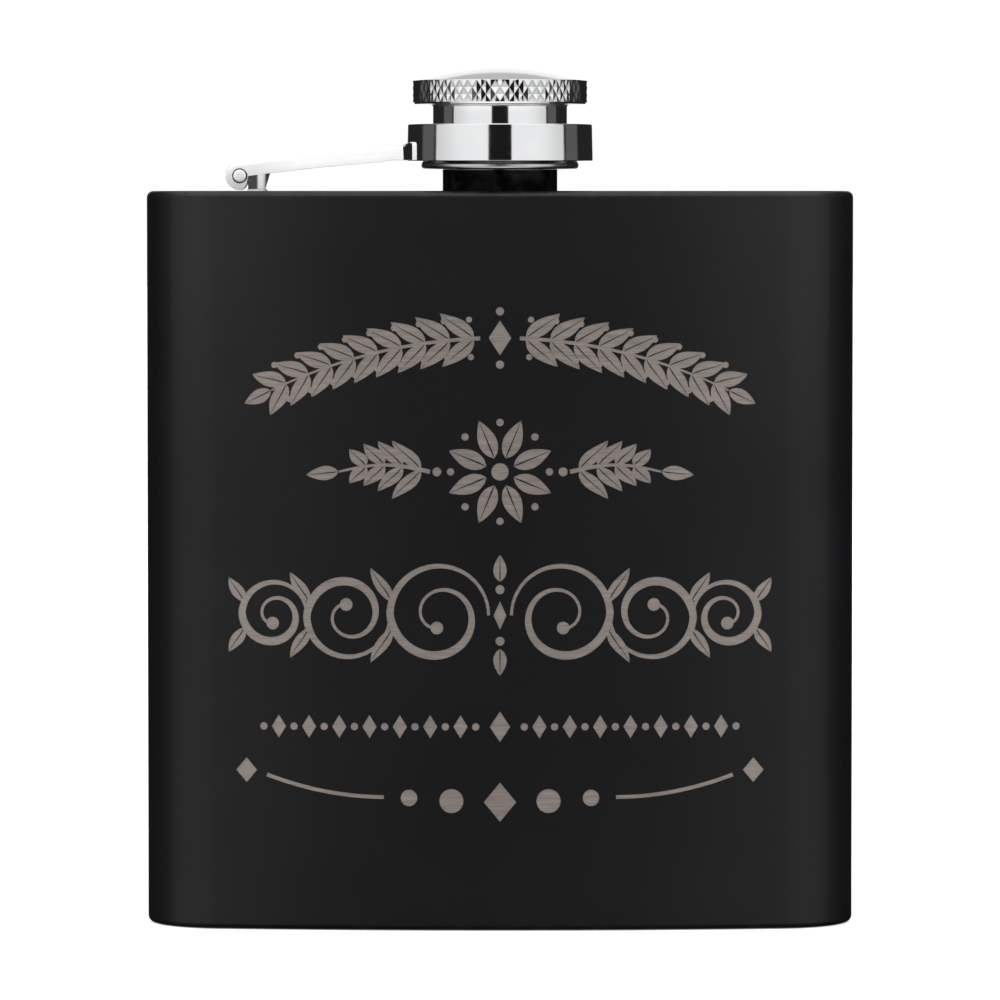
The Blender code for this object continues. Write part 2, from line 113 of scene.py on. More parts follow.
# Brightness round the flask. The azimuth is 0 towards the camera.
SOFTBOX, SOFTBOX_HIGH, SOFTBOX_LOW, SOFTBOX_FADE = 1.03, 0.74, 1.2, 0.76
CEILING_LIGHT, FRONT_CEILING, GROUND_LIGHT, NADIR_LIGHT = 1.3, 1.8, 0.5, 1.1
FLAG_DARK, FLAG_GREY, BACKDROP, BACK_CEILING = 0.019, 0.11, 1.0, 0.56
FLOOR_GLOW, CARD_GLOW, SEEN_WHITE = 0.6, 0.009, 1.05

# Where one brightness turns into the next, as the first and last degree of elevation.
SOFTBOX_RISES, SOFTBOX_DIMS, FRONT_CEILING_STARTS = (-13.0, -4.0), (5.0, 13.0), (24.0, 34.0)
GROUND_ENDS, NADIR_ENDS = (-32.0, -20.0), (-54.0, -42.0)
FLAG_ENDS, BACKDROP_ENDS, BACK_CEILING_ENDS = (34.0, 60.0), (19.0, 24.0), (40.0, 70.0)

# The same in degrees of azimuth to either side. The grey band's second pair runs down.
SOFTBOX_FADES, FLAG_STARTS, FLAG_STOPS = (45.0, 87.0), (85.5, 87.0), (166.0, 170.0)
GREY_BAND_STARTS, GREY_BAND_STOPS = (89.0, 91.0), (113.5, 111.0)

CARD_DISTANCE, CARD_HALF_WIDTH, CARD_LOW, CARD_HIGH = 830.0, 209.0, -600.0, 520.0
SHADE_INNER, SHADE_OUTER, SHADE_DROP = 0.6, -1.2, 0.2
FLOOR_RADIUS, FLOOR_DROP = 6000.0, 0.05
CAMERA_DISTANCE, CAMERA_LENS = 900.0, 243.2
CAMERA_PITCH = 2.621  # degrees below the horizontal


# ---- materials


def preset(node, values):
    """Sets a node's inputs, by name."""
    for name, value in values.items():
        node.inputs[name].default_value = value


class Tree:
    """A node tree, with short calls for the nodes that the finishes and the light share."""

    def __init__(self, tree, space):
        self.tree = tree
        self.coords = self.add("ShaderNodeTexCoord").outputs[space]

    def add(self, kind, **settings):
        node = self.tree.nodes.new(kind)
        for key, value in settings.items():
            setattr(node, key, value)
        return node

    def link(self, source, target):
        self.tree.links.new(source, target)

    def fill(self, socket, value):
        """Sets a socket to a number, or links another node's output to it."""
        if isinstance(value, (int, float)):
            socket.default_value = value
        else:
            self.link(value, socket)

    def axis(self, name):
        split = self.add("ShaderNodeSeparateXYZ")
        self.link(self.coords, split.inputs["Vector"])
        return split.outputs[name]

    def math(self, operation, *values):
        node = self.add("ShaderNodeMath", operation=operation)
        for socket, value in zip(node.inputs, values):
            self.fill(socket, value)
        return node.outputs["Value"]

    def range(self, factor, low, high, low_at=0.0, high_at=1.0, **settings):
        """low where factor is low_at, high where it is high_at, and even between."""
        node = self.add("ShaderNodeMapRange", **settings)
        preset(node, {"From Min": low_at, "From Max": high_at, "To Min": low, "To Max": high})
        self.link(factor, node.inputs["Value"])
        return node.outputs["Result"]


class Nodes(Tree):
    """A new material's node tree."""

    def __init__(self, name):
        self.material = bpy.data.materials.new(name)
        self.material.use_nodes = True
        super().__init__(self.material.node_tree, "Object")
        self.shader = self.tree.nodes["Principled BSDF"]

    def stretched(self, scale):
        """Object coordinates in metres, times a scale for each axis."""
        mapping = self.add("ShaderNodeMapping")
        preset(mapping, {"Scale": scale})
        self.link(self.coords, mapping.inputs["Vector"])
        return mapping.outputs["Vector"]

    def noise(self, scale, detail=3.0, vector=None, roughness=0.55):
        """Noise with this many cells in a metre, unless a stretched vector sets its own scale."""
        node = self.add("ShaderNodeTexNoise")
        preset(node, {"Scale": scale, "Detail": detail, "Roughness": roughness})
        self.link(vector or self.coords, node.inputs["Vector"])
        return node.outputs["Fac"]

    def ramp(self, factor, low, high, low_at=0.0, high_at=1.0):
        """Colour low where factor is low_at, and colour high where it is high_at."""
        node = self.add("ShaderNodeValToRGB")
        ends = node.color_ramp.elements
        ends[0].position, ends[1].position = low_at, high_at
        ends[0].color, ends[1].color = (*low, 1.0), (*high, 1.0)
        self.link(factor, node.inputs["Fac"])
        return node.outputs["Color"]

    def mix(self, factor, a, b):
        """Colour a where factor is 0 and colour b where it is 1."""
        node = self.add("ShaderNodeMix", data_type="RGBA")
        self.link(factor, node.inputs["Factor"])
        self.link(a, node.inputs[6])
        node.inputs[7].default_value = (*b, 1.0)
        return node.outputs[2]

    def bump(self, *layers):
        """Stacks (height, strength, distance in mm) layers into the shader's normal."""
        below = None
        for height, strength, distance in layers:
            node = self.add("ShaderNodeBump")
            preset(node, {"Strength": strength, "Distance": distance * MM})
            self.link(height, node.inputs["Height"])
            if below:
                self.link(below, node.inputs["Normal"])
            below = node.outputs["Normal"]
        self.link(below, self.shader.inputs["Normal"])

    def finish(self, colour, roughness, metallic):
        """Fills the shader and returns the material."""
        self.link(colour, self.shader.inputs["Base Color"])
        self.link(roughness, self.shader.inputs["Roughness"])
        self.shader.inputs["Metallic"].default_value = metallic
        return self.material


def near_rims(nodes, reach):
    """1 on the body's top edge and less on its bottom one, falling to 0 within reach millimetres."""
    z = nodes.axis("Z")
    top = nodes.range(z, 0, 1, (HEIGHT - reach) * MM, HEIGHT * MM)
    bottom = nodes.range(z, 0.25, 0, 0, reach * MM)
    return nodes.math("MAXIMUM", top, bottom)


def black_coat(name="black_coat", depth=1.0, sheen=0.19):
    """Fine matte powder coat: a pebbled skin, slow drifts in tone, and a little rubbing on the rims."""
    nodes = Nodes(name)
    grain = nodes.noise(5200, 4, roughness=0.65)
    colours = ((0.0026, 0.0022, 0.0030), (0.0042, 0.0036, 0.0047), (0.011, 0.0105, 0.0115))
    # depth scales these colours. Below 1 it paints shade, as on the neck under the cap.
    low, high, dust_and_gap_shade = (tuple(channel * depth for channel in colour) for colour in colours)
    tone = nodes.ramp(nodes.noise(55, 3), low, high, 0.3, 0.75)
    tone = nodes.mix(nodes.range(nodes.noise(2600, 2), 0, 1, 0.68, 0.8), tone, dust_and_gap_shade)
    patches = nodes.range(nodes.noise(420, 5), 0, 1, 0.42, 0.72)
    rubbed = nodes.math("MULTIPLY", near_rims(nodes, RIM_WEAR), patches)
    tone = nodes.mix(nodes.math("MULTIPLY", rubbed, 0.8), tone, (0.022, 0.021, 0.023))
    rough = nodes.range(grain, 0.40, 0.50, 0.3, 0.7)
    rough = nodes.math("SUBTRACT", rough, nodes.math("MULTIPLY", rubbed, 0.1))
    nodes.bump((grain, 0.25, 0.010), (nodes.noise(900, 2), 0.10, 0.02))
    preset(nodes.shader, {"Specular IOR Level": sheen, "Coat Roughness": 0.23})
    thickness = nodes.range(nodes.axis("Z"), 0.7, 1.85, 60 * MM, 94 * MM)  # most near the shoulder
    nodes.link(nodes.math("MULTIPLY", thickness, sheen), nodes.shader.inputs["Coat Weight"])
    return nodes.finish(tone, rough, 0.0)


def polished_steel(name="polished_steel", groove=None, dullness=0.0):
    """Mirror finish with faint turning marks, smudges and hairline scratches.

    groove is a pair of radii: painted shade darkens the steel inside the first and fades out by the
    second.
    """
    nodes = Nodes(name)
    smudge = nodes.noise(160, 4)
    fine = nodes.noise(1.0, 3, nodes.stretched((700, 700, 14000)))
    hairs = nodes.noise(1.0, 2, nodes.stretched((9000, 900, 1400)))
    tone = nodes.ramp(smudge, (0.76, 0.765, 0.775), (0.84, 0.845, 0.85), 0.3, 0.8)
    scratch = nodes.range(hairs, 0, 1, 0.66, 0.76)
    tone = nodes.mix(nodes.math("MULTIPLY", scratch, 0.25), tone, (0.55, 0.555, 0.56))
    if groove:
        squares = [nodes.math("POWER", nodes.axis(axis), 2) for axis in "XY"]
        radius = nodes.math("SQRT", nodes.math("ADD", *squares))
        # Painted shade: the steel turns darker in the knurl's grooves, inside the first radius.
        groove_shade = nodes.range(radius, 1, 0, groove[0] * MM, groove[1] * MM)
        tone = nodes.mix(nodes.math("MULTIPLY", groove_shade, 0.45), tone, (0.10, 0.10, 0.105))
    rough = nodes.range(smudge, 0.05 + dullness, 0.13 + dullness, 0.3, 0.8)
    nodes.bump((fine, 0.05, 0.004), (hairs, 0.03, 0.004))
    return nodes.finish(tone, rough, 1.0)


def satin_steel(name="satin_steel"):
    """Bead-blasted and tumbled, so nearly white."""
    nodes = Nodes(name)
    pits = nodes.noise(3800, 3)
    drift = nodes.noise(240, 3)
    tone = nodes.ramp(drift, (0.93, 0.93, 0.935), (0.97, 0.97, 0.97), 0.3, 0.75)
    tone = nodes.mix(nodes.range(pits, 0.30, 0, 0.25, 0.4), tone, (0.70, 0.70, 0.71))
    rough = nodes.range(pits, 0.34, 0.48, 0.3, 0.7)
    nodes.bump((pits, 0.12, 0.008))
    return nodes.finish(tone, rough, 0.35)


def engraved_steel():
    """Steel laid bare by the engraving: a warm grey with a grain that runs across the flask."""
    nodes = Nodes("engraved_steel")
    grain = nodes.noise(1.0, 4, nodes.stretched((260, 260, 9000)), 0.7)
    drift = nodes.noise(90, 2)
    tone = nodes.ramp(grain, (0.30, 0.257, 0.234), (0.52, 0.456, 0.424), 0.3, 0.7)
    tone = nodes.mix(nodes.range(drift, 0, 0.5, 0.35, 0.7), tone, (0.36, 0.316, 0.292))
    rough = nodes.range(grain, 0.42, 0.6, 0.3, 0.7)
    nodes.bump((grain, 0.35, 0.012))
    return nodes.finish(tone, rough, 1.0)


def machined_steel():
    """Turned stainless, with tool rings round Z and a duller, less even tone than the polish."""
    nodes = Nodes("machined_steel")
    rings = nodes.noise(1.0, 3, nodes.stretched((220, 220, 11000)))
    drift = nodes.noise(300, 3)
    tone = nodes.ramp(drift, (0.44, 0.437, 0.43), (0.66, 0.657, 0.65), 0.3, 0.75)
    rough = nodes.range(rings, 0.22, 0.38, 0.3, 0.7)
    nodes.bump((rings, 0.25, 0.008))
    return nodes.finish(tone, rough, 1.0)


def mottled(name, noise, dark, light, rough, relief, metallic, ramp=(0.3, 0.75)):
    """A finish whose tone, roughness and relief all follow one noise, given as its scale and detail."""
    nodes = Nodes(name)
    mottle = nodes.noise(*noise)
    nodes.bump((mottle, *relief))
    tone = nodes.ramp(mottle, dark, light, *ramp)
    return nodes.finish(tone, nodes.range(mottle, *rough, 0.3, 0.7), metallic)


def stage_paint(name, scale, tones, rough, specular, glow, ramp=(0.0, 1.0)):
    """Matte paint for a staged surface, with a white glow that lifts it a little."""
    nodes = Nodes(name)
    drift = nodes.noise(scale, 2)
    light = {"Emission Color": (1, 1, 1, 1), "Emission Strength": glow}
    preset(nodes.shader, {"Specular IOR Level": specular, **light})
    dark, pale = ((tone,) * 3 for tone in tones)
    return nodes.finish(nodes.ramp(drift, dark, pale, *ramp), nodes.range(drift, *rough), 0.0)


# ---- mesh helpers


def shade(mesh, angle=SOFT_ANGLE):
    """Smooth shading, with crisp edges where faces meet at more than angle degrees."""
    mesh.shade_smooth()
    mesh.set_sharp_from_angle(angle=math.radians(angle))


def add_piece(name, bm, materials, body=None, nodes=(), smooth=SOFT_ANGLE):
    """Turns a bmesh in millimetres into an object in metres that rides on a CAD body."""
    bmesh.ops.recalc_face_normals(bm, faces=bm.faces)
    bmesh.ops.scale(bm, verts=bm.verts, vec=(MM, MM, MM))
    mesh = bpy.data.meshes.new(name)
    bm.to_mesh(mesh)
    bm.free()
    shade(mesh, smooth)
    for material in materials:
        mesh.materials.append(material)
    piece = bpy.data.objects.new(name, mesh)
    bpy.context.scene.collection.objects.link(piece)
    if body:
        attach(piece, body)
    if nodes:
        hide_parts(*nodes)
    return piece


def bevelled(piece, width, segments=2, angle=40):
    """Rounds the edges sharper than angle degrees."""
    step = piece.modifiers.new("edge", "BEVEL")
    step.width, step.segments = width * MM, segments
    step.limit_method, step.angle_limit = "ANGLE", math.radians(angle)


def cut(piece, bm, operation="DIFFERENCE"):
    """Applies an exact Boolean with a bmesh in millimetres, and removes the cutter."""
    cutter = add_piece("cutter", bm, [])
    step = piece.modifiers.new("cut", "BOOLEAN")
    step.operation, step.solver, step.object = operation, "EXACT", cutter
    bpy.context.view_layer.update()
    graph = bpy.context.evaluated_depsgraph_get()
    mesh = bpy.data.meshes.new_from_object(piece.evaluated_get(graph))
    piece.modifiers.remove(step)
    piece.data = mesh
    bpy.data.objects.remove(cutter)


def around(centre, radius, angle):
    """The point at this radius and angle from a centre."""
    return (centre[0] + radius * math.cos(angle), centre[1] + radius * math.sin(angle))


def arc(centre, radius, start, end, steps):
    """Points along an arc, both ends included."""
    return [around(centre, radius, start + (end - start) * i / steps) for i in range(steps + 1)]


def bridge(bm, lower, upper, start=0):
    """Quads between two equal loops of vertices, from the vertex numbered start on."""
    count = len(lower)
    pairs = [(i, (i + 1) % count) for i in range(start, count)]
    return [bm.faces.new((lower[i], lower[j], upper[j], upper[i])) for i, j in pairs]


def loft(rings, closed=False, ends=None):
    """Bridges equal loops of points.

    ends is "faces" to close each end with one face, or "strips" where the loops run out along one path and
    back along another.
    """
    bm = bmesh.new()
    loops = [[bm.verts.new(point) for point in ring] for ring in rings]
    for lower, upper in zip(loops, loops[1:]):
        bridge(bm, lower, upper)
    if closed:
        bridge(bm, loops[-1], loops[0])
    for end in (loops[0], loops[-1]):
        if ends == "faces":
            bm.faces.new(end)
        if ends == "strips":
            for i in range(len(end) // 2 - 1):
                bm.faces.new((end[i], end[i + 1], end[-2 - i], end[-1 - i]))
    return bm


def held_flat(profile, closed):
    """Adds points just inside the ends of long straight runs, so that smooth shading leaves them flat."""
    near, longest = 0.03, 0.25
    held = []
    count = len(profile)
    for i, (a, b) in enumerate(zip(profile, profile[1:] + profile[:1])):
        held.append(a)
        if i == count - 1 and not closed:
            break
        length = math.hypot(b[0] - a[0], b[1] - a[1])
        if length > longest:
            for t in (near / length, 1 - near / length):
                held.append((a[0] + (b[0] - a[0]) * t, a[1] + (b[1] - a[1]) * t))
    return held


def turned(profile, steps=ROUND_STEPS, lift=HEIGHT):
    """Spins a closed (radius, z) profile round Z, z counted from the shoulder."""
    profile = held_flat(profile, profile[0][0] > 0)
    bm = bmesh.new()
    verts = [bm.verts.new((radius, 0.0, lift + z)) for radius, z in profile]
    edges = [bm.edges.new(pair) for pair in zip(verts, verts[1:])]
    if profile[0][0] > 0:
        edges.append(bm.edges.new((verts[-1], verts[0])))
    bmesh.ops.spin(bm, geom=verts + edges, cent=(0, 0, 0), axis=(0, 0, 1), angle=TURN, steps=steps)
    bmesh.ops.remove_doubles(bm, verts=bm.verts, dist=1e-4)
    return bm


def drill(radius, low, high):
    """The (radius, z) profile of a solid cylinder."""
    return [(0, low), (radius, low), (radius, high), (0, high)]


def prism(plan, low, high):
    """A plan in x and y, raised from low to high."""
    bm = bmesh.new()
    base = bm.faces.new([bm.verts.new((x, y, low)) for x, y in plan])
    lifted = bmesh.ops.extrude_face_region(bm, geom=[base])["geom"]
    verts = [item for item in lifted if isinstance(item, bmesh.types.BMVert)]
    bmesh.ops.translate(bm, verts=verts, vec=(0, 0, high - low))
    return bm


def fillet(corner, radius, start, steps=5):
    """A rounded corner of a (radius, z) profile: a quarter turn anticlockwise from start."""
    return arc(corner, radius, start, start + QUARTER, steps)


# ---- ornament, as flat (u, z) polygons


def disc(centre, radius, steps=28):
    return [arc(centre, radius, 0, TURN, steps)[:-1]]


def lozenge(u, z, half_width, half_height):
    return [[(u - half_width, z), (u, z - half_height), (u + half_width, z), (u, z + half_height)]]


def stroke(points, widths):
    """A pen line as short quads that share their ends."""
    rails = []
    for i, (u, z) in enumerate(points):
        before, after = points[max(i - 1, 0)], points[min(i + 1, len(points) - 1)]
        du, dz = after[0] - before[0], after[1] - before[1]
        length = math.hypot(du, dz)
        nu, nz = -dz / length * widths[i] / 2, du / length * widths[i] / 2
        rails.append(((u + nu, z + nz), (u - nu, z - nz)))
    return [[a[0], a[1], b[1], b[0]] for a, b in zip(rails, rails[1:])]


def leaf(foot, angle, length, width, bend=0.0, vein=0.16):
    """A pointed leaf from its foot, in two halves either side of a bare vein."""
    steps = 10
    cos, sin = math.cos(angle), math.sin(angle)
    halves = []
    for side in (1, -1):
        outer, inner = [], []
        for i in range(steps + 1):
            t = i / steps
            sway = bend * length * math.sin(math.pi * t / 2) ** 2
            bulge = width / 2 * math.sin(math.pi * t**0.8) ** 0.9 if 0 < t < 1 else 0
            gap = vein / 2 * (1 - t) * min(1, 6 * t)
            outer.append((length * t, sway + side * max(bulge, gap)))
            inner.append((length * t, sway + side * gap))
        loop = outer + inner[-2:0:-1]
        halves.append([(foot[0] + a * cos - b * sin, foot[1] + a * sin + b * cos) for a, b in loop])
    return halves


def anticlockwise(polygon):
    """The polygon, turned round if it runs clockwise."""
    ahead = polygon[1:] + polygon[:1]
    area = sum(a[0] * b[1] - b[0] * a[1] for a, b in zip(polygon, ahead))
    return polygon if area > 0 else polygon[::-1]


def mirrored(polygons):
    """The polygons and their mirror images across the middle."""
    return polygons + [[(-u, z) for u, z in polygon] for polygon in polygons]


def laurel_arch():
    """An arched branch of paired leaves on each side of a lozenge."""
    radius, crown, steps, pairs = 69.0, 78.2, 32, 9
    span = 31.2 / radius

    def on_arch(angle):
        return (radius * math.sin(angle), crown - radius * (1 - math.cos(angle)))

    start = 2.6 / radius
    stem = [on_arch(start + (span - start) * i / steps) for i in range(steps + 1)]
    half = stroke(stem, [0.55 - 0.3 * i / steps for i in range(steps + 1)])
    for i in range(pairs):
        share = i / (pairs - 1)
        angle = 3.4 / radius + (span - 5.6 / radius) * share
        foot = on_arch(angle)
        for side in (1, -1):
            half += leaf(foot, -angle + side * 0.78, 5.6 - 0.9 * share, 2.15, -side * 0.1)
            half += disc(around((foot[0] + 1.0, foot[1]), 2.5, -angle + side * 1.75), 0.42, 16)
    half += leaf(stem[-1], -span, 4.0, 1.9)
    dots = disc((0, crown + 3.5), 0.55) + disc((0, crown - 3.5), 0.55)
    return mirrored(half) + lozenge(0, crown, 1.5, 2.3) + dots


def rosette(z):
    """Eight petals and a ring of dots round a button, between two sprigs."""
    petals, steps = 8, 20
    found = disc((0, z), 1.15)
    for i in range(petals):
        dot = TURN * i / petals
        angle = dot + math.pi / petals
        found += leaf(around((0, z), 1.9, angle), angle, 5.4, 2.5, vein=0.22)
        found += disc(around((0, z), 6.5, dot), 0.5, 18)
    stem = [(9.2 + 12.0 * i / steps, z + 0.9 * math.sin(math.pi * i / steps)) for i in range(steps + 1)]
    sprig = stroke(stem, [0.6 - 0.3 * i / steps for i in range(steps + 1)])
    for i in range(4):
        for side in (1, -1):
            sprig += leaf(stem[2 + 4 * i], side * 0.95, 5.4 - 0.75 * i, 1.9, -side * 0.16)
    sprig += leaf(stem[-1], -0.1, 4.4, 1.9) + disc((8.3, z), 0.6)
    return found + mirrored(sprig)


def curl(u, z, radius, over):
    """A scroll that starts at its left, runs over or under its middle and winds into a bud."""
    turns, steps = 1.72, 84
    points, widths = [], []
    for i in range(steps + 1):
        t = i / steps
        wound = max(0.0, t * turns - 0.5) / (turns - 0.5)
        angle = math.pi - over * TURN * turns * t
        points.append(around((u, z), radius * (1 - 0.74 * wound**0.85), angle))
        widths.append(0.42 + 0.72 * math.sin(math.pi * min(1, t * 1.25)) ** 2)
    return stroke(points, widths) + disc(points[-1], 0.85, 22)


def running_scroll(z):
    """Three scrolls on each side that alternate over and under, with leaves in the gaps."""
    half = []
    left, widest = 1.5, 6.5
    for radius, over in ((widest, 1), (5.5, -1), (4.3, 1)):
        half += curl(left + radius, z, radius, over)
        left += 2 * radius
        length = 4.6 * radius / widest + 0.8
        for side in (1, -1):
            half += leaf((left - 0.3, z + side * 1.7), side * 1.13, length, 1.7, -side * 0.12)
    found = mirrored(half) + lozenge(0, z, 0.85, 1.9)
    for side in (1, -1):
        found += disc((0, z + side * 3.4), 0.6) + leaf((0, z + side * 4.4), side * QUARTER, 3.6, 1.8)
    return found


def bead_row(z):
    """A line of alternating lozenges and dots, largest in the middle."""
    half = []
    for i in range(1, 16):
        u = 1.2 + 2.0 * i
        half += lozenge(u, z, 0.95, 1.55) if i % 2 == 0 else disc((u, z), 0.5, 18)
    return mirrored(half) + lozenge(0, z, 1.35, 2.05)


def divider():
    """Fine lines and dots that sink towards a lozenge."""
    steps = 16
    shares = [i / steps for i in range(steps + 1)]
    line = [(30.8 - 15.5 * share, 20.6 - 2.9 * (1 - (1 - share) ** 2)) for share in shares]
    half = lozenge(33.5, 21.2, 1.4, 1.65) + stroke(line, [0.52] * len(line))
    half += disc((12.0, 17.6), 1.1) + disc((6.4, 17.2), 1.6)
    return mirrored(half) + lozenge(0, 17.05, 2.15, 2.6)


def ornament():
    """Every sunk polygon of the front, from the top band down."""
    return laurel_arch() + rosette(60.6) + running_scroll(41.7) + bead_row(27.0) + divider()


# ---- body


def outline(inset):
    """The kidney section moved inwards by inset, anticlockwise from the left end of the front."""
    front_centre, back_centre = (0, FRONT_CENTRE_Y), (0, END_Y + BACK_DEPTH + BACK_RADIUS)
    front_from, front_to = DOWN - FRONT_ANGLE, DOWN + FRONT_ANGLE
    front = arc(front_centre, FRONT_RADIUS - inset, front_from, front_to, FRONT_STEPS)
    back = arc(back_centre, BACK_RADIUS + inset, DOWN + BACK_ANGLE, DOWN - BACK_ANGLE, BACK_STEPS)
    radius = END_RADIUS - inset
    right = arc((END_X, END_Y), radius, front_to, 0, END_STEPS)[1:]
    right += arc((END_X, END_Y), radius, 0, BACK_ANGLE - DOWN, END_STEPS)[1:-1]
    left = [(-x, y) for x, y in right[::-1]]
    return front + right + back + left


def on_front(u, z, depth):
    """The point of the front face u along its curve, z up, and depth below its surface."""
    return (*around((0, FRONT_CENTRE_Y), FRONT_RADIUS - depth, DOWN + u / FRONT_RADIUS), z)


def engraved_front(bm, low, high):
    """The front between two heights, with the ornament sunk into it. Its bare floors use material 1."""
    across = [-HALF_FRONT + 2 * HALF_FRONT * i / FRONT_STEPS for i in range(FRONT_STEPS + 1)]
    up = [low + (high - low) * i / WALL_ROWS for i in range(WALL_ROWS + 1)]
    points = [Vector((u, z)) for z in up for u in across]
    columns = len(across)
    bottom = list(range(columns))
    top = [WALL_ROWS * columns + i for i in bottom]
    edges = list(zip(bottom, bottom[1:])) + list(zip(top, top[1:]))
    for side in (0, columns - 1):
        side_points = [row * columns + side for row in range(WALL_ROWS + 1)]
        edges += list(zip(side_points, side_points[1:]))
    faces = []
    for polygon in ornament():
        faces.append(list(range(len(points), len(points) + len(polygon))))
        points += [Vector(point) for point in anticlockwise(polygon)]
    out_points, _, out_faces, _, _, sources = delaunay_2d_cdt(points, edges, faces, 0, 1e-5)
    tops, floors, rims = {}, {}, {}

    def corner(index, sunk):
        """The surface's or the floor's vertex for this point."""
        store = floors if sunk else tops
        if index not in store:
            depth = ENGRAVE_DEPTH if sunk else 0.0
            store[index] = bm.verts.new(on_front(*out_points[index], depth))
        return store[index]

    for face, source in zip(out_faces, sources):
        sunk = bool(source)
        bm.faces.new([corner(index, sunk) for index in face]).material_index = int(sunk)
        for pair in zip(face, face[1:] + face[:1]):
            rims.setdefault(tuple(sorted(pair)), set()).add(sunk)
    for (a, b), kinds in rims.items():
        if len(kinds) == 2:
            bm.faces.new((corner(a, False), corner(b, False), corner(b, True), corner(a, True)))


def flask_body(coat, steel, inside):
    """Wrapped wall with rolled rims. The front carries the engraving, and the inner wall is bare."""
    low, high = EDGE_RADIUS, HEIGHT - EDGE_RADIUS
    bend = [QUARTER * i / RIM_STEPS for i in range(RIM_STEPS + 1)]
    rim = [(EDGE_RADIUS * (1 - math.cos(a)), EDGE_RADIUS * math.sin(a)) for a in bend]
    profile = [(SEAM_INSET, 0.0)] + [(inset, low - drop) for inset, drop in rim[::-1]]
    profile += [(0.0, low + (high - low) * i / WALL_ROWS) for i in range(1, WALL_ROWS)]
    profile += [(inset, high + rise) for inset, rise in rim] + [(SEAM_INSET, HEIGHT)]
    inner = [(SEAM_INSET, HEIGHT - WALL), (WALL, high), (WALL, low), (SEAM_INSET, WALL)]
    profile += inner
    front_rows = range(1 + RIM_STEPS, 1 + RIM_STEPS + WALL_ROWS)
    bm = bmesh.new()
    loops = [[bm.verts.new((x, y, z)) for x, y in outline(inset)] for inset, z in profile]
    for row in range(len(profile)):
        start = FRONT_STEPS if row in front_rows else 0  # the engraved front fills the gap
        for face in bridge(bm, loops[row], loops[(row + 1) % len(profile)], start):
            face.material_index = 2 if row >= len(profile) - len(inner) else 0
    engraved_front(bm, low, high)
    bmesh.ops.remove_doubles(bm, verts=bm.verts, dist=2e-3)
    bmesh.ops.delete(bm, geom=[v for v in bm.verts if not v.link_faces], context="VERTS")
    add_piece("flask_body", bm, [coat, steel, inside], "flask", ["body_shell"])


def plate(name, coat, node, outer_z, inward, hole_radius=None):
    """A pressed plate whose edge sinks into a fine seam beside the rim.

    inward is -1 for the shoulder and +1 for the base.
    """
    seam = ((0.02, PLATE), (0.02, SEAM_DEPTH), (0.14, SEAM_DEPTH * 0.35), (0.30, 0.004))
    rings = []
    for reach, depth in seam + ((0.55, 0.0), (2.4, 0.0)):
        rings.append([(x, y, outer_z + inward * depth) for x, y in outline(SEAM_INSET + reach)])
    piece = add_piece(name, loft(rings, ends="faces"), [coat], "flask", [node])
    if hole_radius:
        cut(piece, turned(drill(hole_radius, -3, 3), 96))
        shade(piece.data)


# ---- threads and neck


def tooth(angle, z):
    """The thread's height here, from 0 in the root to 1 on the crest."""
    phase = (z / PITCH - angle / TURN) % 1.0
    return min(1.0, max(0.0, 3.2 * (0.5 - abs(phase - 0.5)) - 0.45))


def threaded(root, crest, span):
    """Loops of points up a threaded wall, fading in and out over half a pitch."""
    low, high = span
    rows = round((high - low) / PITCH * ROWS_PER_TURN)
    rings = []
    for row in range(rows + 1):
        z = low + (high - low) * row / rows
        fade = min(1.0, max(0.0, min(z - low, high - z) / (PITCH / 2)))
        ring = []
        for i in range(ROUND_STEPS):
            angle = TURN * i / ROUND_STEPS
            radius = root + (crest - root) * tooth(angle, z) * fade
            ring.append((*around((0, 0), radius, angle), HEIGHT + z))
        rings.append(ring)
    return rings


def circles(profile):
    """Loops of points round Z for a (radius, z) profile, z counted from the shoulder."""
    rings = []
    for radius, z in held_flat(profile, False):
        ring = arc((0, 0), radius, 0, TURN, ROUND_STEPS)[:-1]
        rings.append([(x, y, HEIGHT + z) for x, y in ring])
    return rings


def neck(coat, steel):
    """Coated collar on a small weld fillet, then a bare threaded spout with a rounded rim."""
    size, edge = 0.1, 0.05
    collar_top = INSERT_BOTTOM - 0.02  # the cap's lip all but rests on the collar
    foot = COLLAR_RADIUS + size
    below = [(NECK_BORE, -SPIGOT_DROP), (WELD_RADIUS, -SPIGOT_DROP), (WELD_RADIUS, -0.05), (foot, -0.03)]
    below += arc((foot, size), size, DOWN, -math.pi, 5)
    below += fillet((COLLAR_RADIUS - edge, collar_top - edge), edge, 0)
    below += [(MALE_ROOT, collar_top)]
    rim_radius = (MALE_ROOT - NECK_BORE) / 2
    above = arc((NECK_BORE + rim_radius, NECK_HEIGHT - rim_radius), rim_radius, 0, math.pi, 8)
    rings = circles(below) + threaded(MALE_ROOT, MALE_CREST, MALE_SPAN) + circles(above)
    bm = loft(rings, closed=True)
    for face in bm.faces:
        middle = face.calc_center_median()
        on_spout = middle.z > HEIGHT + COLLAR_HEIGHT - 0.02
        in_bore = math.hypot(middle.x, middle.y) < SPIGOT_RADIUS - 0.3
        face.material_index = int(on_spout or in_bore)
    add_piece("neck_fine", bm, [coat, steel], "flask", ["neck"])


# ---- cap


